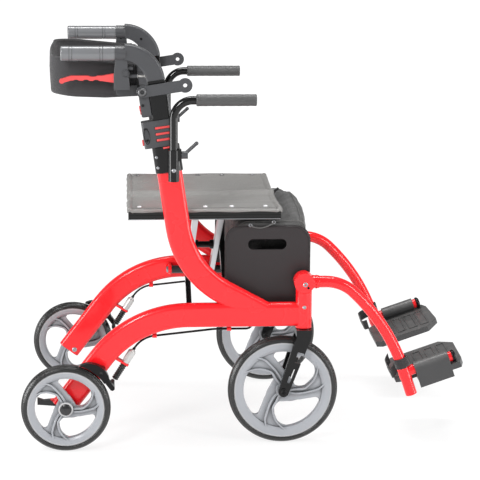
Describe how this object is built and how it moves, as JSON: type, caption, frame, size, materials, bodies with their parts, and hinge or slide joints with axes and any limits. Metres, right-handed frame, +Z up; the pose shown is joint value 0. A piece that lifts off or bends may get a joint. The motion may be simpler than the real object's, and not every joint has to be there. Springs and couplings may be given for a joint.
{
  "type": "rollator transport chair",
  "caption": "Folding walker that doubles as a transport chair: red oval-tube side frames, sling seat, flip-over backrest, handles with brakes and swing-away footrests.",
  "frame": {"origin": "on the floor, under the middle of the overall box", "axes": "+X forward towards the footrests, +Y to the user's left, +Z up"},
  "size_m": [1.0235, 0.599, 0.9216],
  "materials": {
    "red_paint": "gloss paint",
    "black_paint": "satin paint",
    "black_plastic": "satin",
    "grey_plastic": "matt",
    "red_plastic": "gloss",
    "grip_rubber": "matt",
    "foam": "matt foam",
    "rim_grey": "satin",
    "tyre": "matt",
    "bellows_rubber": "matt",
    "webbing": "woven",
    "silver": "satin",
    "cloth": "woven",
    "bag_cloth": "woven",
    "band_cloth": "woven"
  },
  "bodies": {
    "right_side": {"right_frame": "red_paint", "right_sleeve": "black_plastic", "right_clamp": "grey_plastic", "right_panel": "black_plastic", "right_bellows": "bellows_rubber", "right_cable": "black_plastic", "bag": "bag_cloth"},
    "right_handle_set": {"right_column": "black_paint", "right_handle": "grey_plastic", "right_grip": "grip_rubber", "right_bracket": "grey_plastic"},
    "right_brake_lever": {"right_lever": "red_plastic"},
    "right_height_button": {"right_clamp_button": "red_plastic"},
    "right_backrest_button": {"right_back_button": "red_plastic"},
    "right_backrest_arm": {"right_back_arm": "black_paint", "back_band": "band_cloth"},
    "right_armrest_set": {"right_armrest": "black_paint", "right_armrest_pad": "foam"},
    "right_armrest_lever": {"right_clamp_lever": "black_plastic"},
    "right_rear_wheel": {"right_rear_rim": "rim_grey", "right_rear_tyre": "tyre"},
    "right_brake_shoe": {"right_brake_arm": "black_plastic"},
    "right_caster": {"right_fork": "black_paint"},
    "right_front_wheel": {"right_front_rim": "rim_grey", "right_front_tyre": "tyre"},
    "right_footrest": {"right_hanger": "red_paint", "right_heel_strap": "webbing"},
    "right_footplate_set": {"right_footplate": "grey_plastic"},
    "left_side": {"left_frame": "red_paint", "left_sleeve": "black_plastic", "left_clamp": "grey_plastic", "left_panel": "black_plastic", "left_bellows": "bellows_rubber", "left_cable": "black_plastic"},
    "left_handle_set": {"left_column": "black_paint", "left_handle": "grey_plastic", "left_grip": "grip_rubber", "left_bracket": "grey_plastic"},
    "left_brake_lever": {"left_lever": "red_plastic"},
    "left_height_button": {"left_clamp_button": "red_plastic"},
    "left_backrest_button": {"left_back_button": "red_plastic"},
    "left_backrest_arm": {"left_back_arm": "black_paint"},
    "left_armrest_set": {"left_armrest": "black_paint", "left_armrest_pad": "foam"},
    "left_armrest_lever": {"left_clamp_lever": "black_plastic"},
    "left_rear_wheel": {"left_rear_rim": "rim_grey", "left_rear_tyre": "tyre"},
    "left_brake_shoe": {"left_brake_arm": "black_plastic"},
    "left_caster": {"left_fork": "black_paint"},
    "left_front_wheel": {"left_front_rim": "rim_grey", "left_front_tyre": "tyre"},
    "left_footrest": {"left_hanger": "red_paint", "left_heel_strap": "webbing"},
    "left_footplate_set": {"left_footplate": "grey_plastic"},
    "black_brace": {"brace_black": "black_paint", "left_rail": "black_paint"},
    "silver_brace": {"brace_silver": "silver", "right_rail": "black_paint", "seat_sling": "cloth"}
  },
  "joints": [
    {"name": "fold", "type": "hinge", "parent": "right_side", "child": "black_brace", "pos_m": [-0.08442, -0.204, 0.3055], "axis": [1, 0, 0], "range_deg": [0, 22], "deforming": ["seat_sling", "bag", "back_band"]},
    {"name": "brace_centre", "type": "hinge", "parent": "black_brace", "child": "silver_brace", "pos_m": [-0.08442, 0, 0.416], "axis": [1, 0, 0], "range_deg": [-44, 0]},
    {"name": "left_side_fold", "type": "hinge", "parent": "silver_brace", "child": "left_side", "pos_m": [-0.08442, 0.204, 0.3055], "axis": [1, 0, 0], "range_deg": [0, 22]},
    {"name": "right_handle_height", "type": "slide", "parent": "right_side", "child": "right_handle_set", "axis": [-0.1461, 0, 0.9893], "range_m": [0, 0.09]},
    {"name": "right_brake_squeeze", "type": "hinge", "parent": "right_handle_set", "child": "right_brake_lever", "pos_m": [-0.27628, -0.24, 0.8467], "axis": [0, 1, 0], "range_deg": [0, 12], "stiffness_Nm_per_rad": 2, "springref_deg": -5.73},
    {"name": "right_height_button_press", "type": "slide", "parent": "right_side", "child": "right_height_button", "axis": [0.9893, 0, 0.1461], "range_m": [0, 0.003], "stiffness_N_per_m": 400, "springref_m": -0.001},
    {"name": "right_backrest_button_press", "type": "slide", "parent": "right_handle_set", "child": "right_backrest_button", "axis": [0.9893, 0, 0.1461], "range_m": [0, 0.003], "stiffness_N_per_m": 400, "springref_m": -0.001},
    {"name": "right_backrest_flip", "type": "hinge", "parent": "right_handle_set", "child": "right_backrest_arm", "pos_m": [-0.23283, -0.24, 0.81811], "axis": [0, 1, 0], "range_deg": [0, 170]},
    {"name": "right_armrest_height", "type": "slide", "parent": "right_side", "child": "right_armrest_set", "axis": [0, 0, 1], "range_m": [0, 0.05]},
    {"name": "right_armrest_release", "type": "hinge", "parent": "right_side", "child": "right_armrest_lever", "pos_m": [-0.14714, -0.272, 0.68], "axis": [1, 0, 0], "range_deg": [0, 90]},
    {"name": "right_rear_wheel_spin", "type": "hinge", "parent": "right_side", "child": "right_rear_wheel", "pos_m": [-0.41016, -0.278, 0.1016], "axis": [0, 1, 0], "continuous": true},
    {"name": "right_brake_shoe_press", "type": "hinge", "parent": "right_side", "child": "right_brake_shoe", "pos_m": [-0.32966, -0.24, 0.1836], "axis": [0, -1, 0], "range_deg": [0, 2.4]},
    {"name": "right_caster_swivel", "type": "hinge", "parent": "right_side", "child": "right_caster", "pos_m": [0.13258, -0.24, 0.3], "axis": [0, 0, 1], "continuous": true},
    {"name": "right_front_wheel_spin", "type": "hinge", "parent": "right_caster", "child": "right_front_wheel", "pos_m": [0.08658, -0.24, 0.127], "axis": [0, 1, 0], "continuous": true},
    {"name": "right_footrest_swing", "type": "hinge", "parent": "right_side", "child": "right_footrest", "pos_m": [0.13258, -0.24, 0.35], "axis": [0, 0, -1], "range_deg": [0, 90]},
    {"name": "right_footplate_flip", "type": "hinge", "parent": "right_footrest", "child": "right_footplate_set", "pos_m": [0.36949, -0.24, 0.16229], "axis": [0.9455, 0, 0.3256], "range_deg": [0, 75]},
    {"name": "left_handle_height", "type": "slide", "parent": "left_side", "child": "left_handle_set", "axis": [-0.1461, 0, 0.9893], "range_m": [0, 0.09]},
    {"name": "left_brake_squeeze", "type": "hinge", "parent": "left_handle_set", "child": "left_brake_lever", "pos_m": [-0.27628, 0.24, 0.8467], "axis": [0, 1, 0], "range_deg": [0, 12], "stiffness_Nm_per_rad": 2, "springref_deg": -5.73},
    {"name": "left_height_button_press", "type": "slide", "parent": "left_side", "child": "left_height_button", "axis": [0.9893, 0, 0.1461], "range_m": [0, 0.003], "stiffness_N_per_m": 400, "springref_m": -0.001},
    {"name": "left_backrest_button_press", "type": "slide", "parent": "left_handle_set", "child": "left_backrest_button", "axis": [0.9893, 0, 0.1461], "range_m": [0, 0.003], "stiffness_N_per_m": 400, "springref_m": -0.001},
    {"name": "left_backrest_flip", "type": "hinge", "parent": "left_handle_set", "child": "left_backrest_arm", "pos_m": [-0.23283, 0.24, 0.81811], "axis": [0, 1, 0], "range_deg": [0, 170]},
    {"name": "left_armrest_height", "type": "slide", "parent": "left_side", "child": "left_armrest_set", "axis": [0, 0, 1], "range_m": [0, 0.05]},
    {"name": "left_armrest_release", "type": "hinge", "parent": "left_side", "child": "left_armrest_lever", "pos_m": [-0.14714, 0.272, 0.68], "axis": [-1, 0, 0], "range_deg": [0, 90]},
    {"name": "left_rear_wheel_spin", "type": "hinge", "parent": "left_side", "child": "left_rear_wheel", "pos_m": [-0.41016, 0.278, 0.1016], "axis": [0, 1, 0], "continuous": true},
    {"name": "left_brake_shoe_press", "type": "hinge", "parent": "left_side", "child": "left_brake_shoe", "pos_m": [-0.32966, 0.24, 0.1836], "axis": [0, -1, 0], "range_deg": [0, 2.4]},
    {"name": "left_caster_swivel", "type": "hinge", "parent": "left_side", "child": "left_caster", "pos_m": [0.13258, 0.24, 0.3], "axis": [0, 0, 1], "continuous": true},
    {"name": "left_front_wheel_spin", "type": "hinge", "parent": "left_caster", "child": "left_front_wheel", "pos_m": [0.08658, 0.24, 0.127], "axis": [0, 1, 0], "continuous": true},
    {"name": "left_footrest_swing", "type": "hinge", "parent": "left_side", "child": "left_footrest", "pos_m": [0.13258, 0.24, 0.35], "axis": [0, 0, 1], "range_deg": [0, 90]},
    {"name": "left_footplate_flip", "type": "hinge", "parent": "left_footrest", "child": "left_footplate_set", "pos_m": [0.36949, 0.24, 0.16229], "axis": [-0.9455, 0, -0.3256], "range_deg": [0, 75]}
  ],
  "couplings": [
    {"joint": "brace_centre", "follows": "fold", "ratio": -2},
    {"joint": "left_side_fold", "follows": "fold", "ratio": 1},
    {"joint": "left_handle_height", "follows": "right_handle_height", "ratio": 1},
    {"joint": "left_backrest_flip", "follows": "right_backrest_flip", "ratio": 1},
    {"joint": "right_brake_shoe_press", "follows": "right_brake_squeeze", "ratio": 0.2},
    {"joint": "left_brake_shoe_press", "follows": "left_brake_squeeze", "ratio": 0.2}
  ]
}
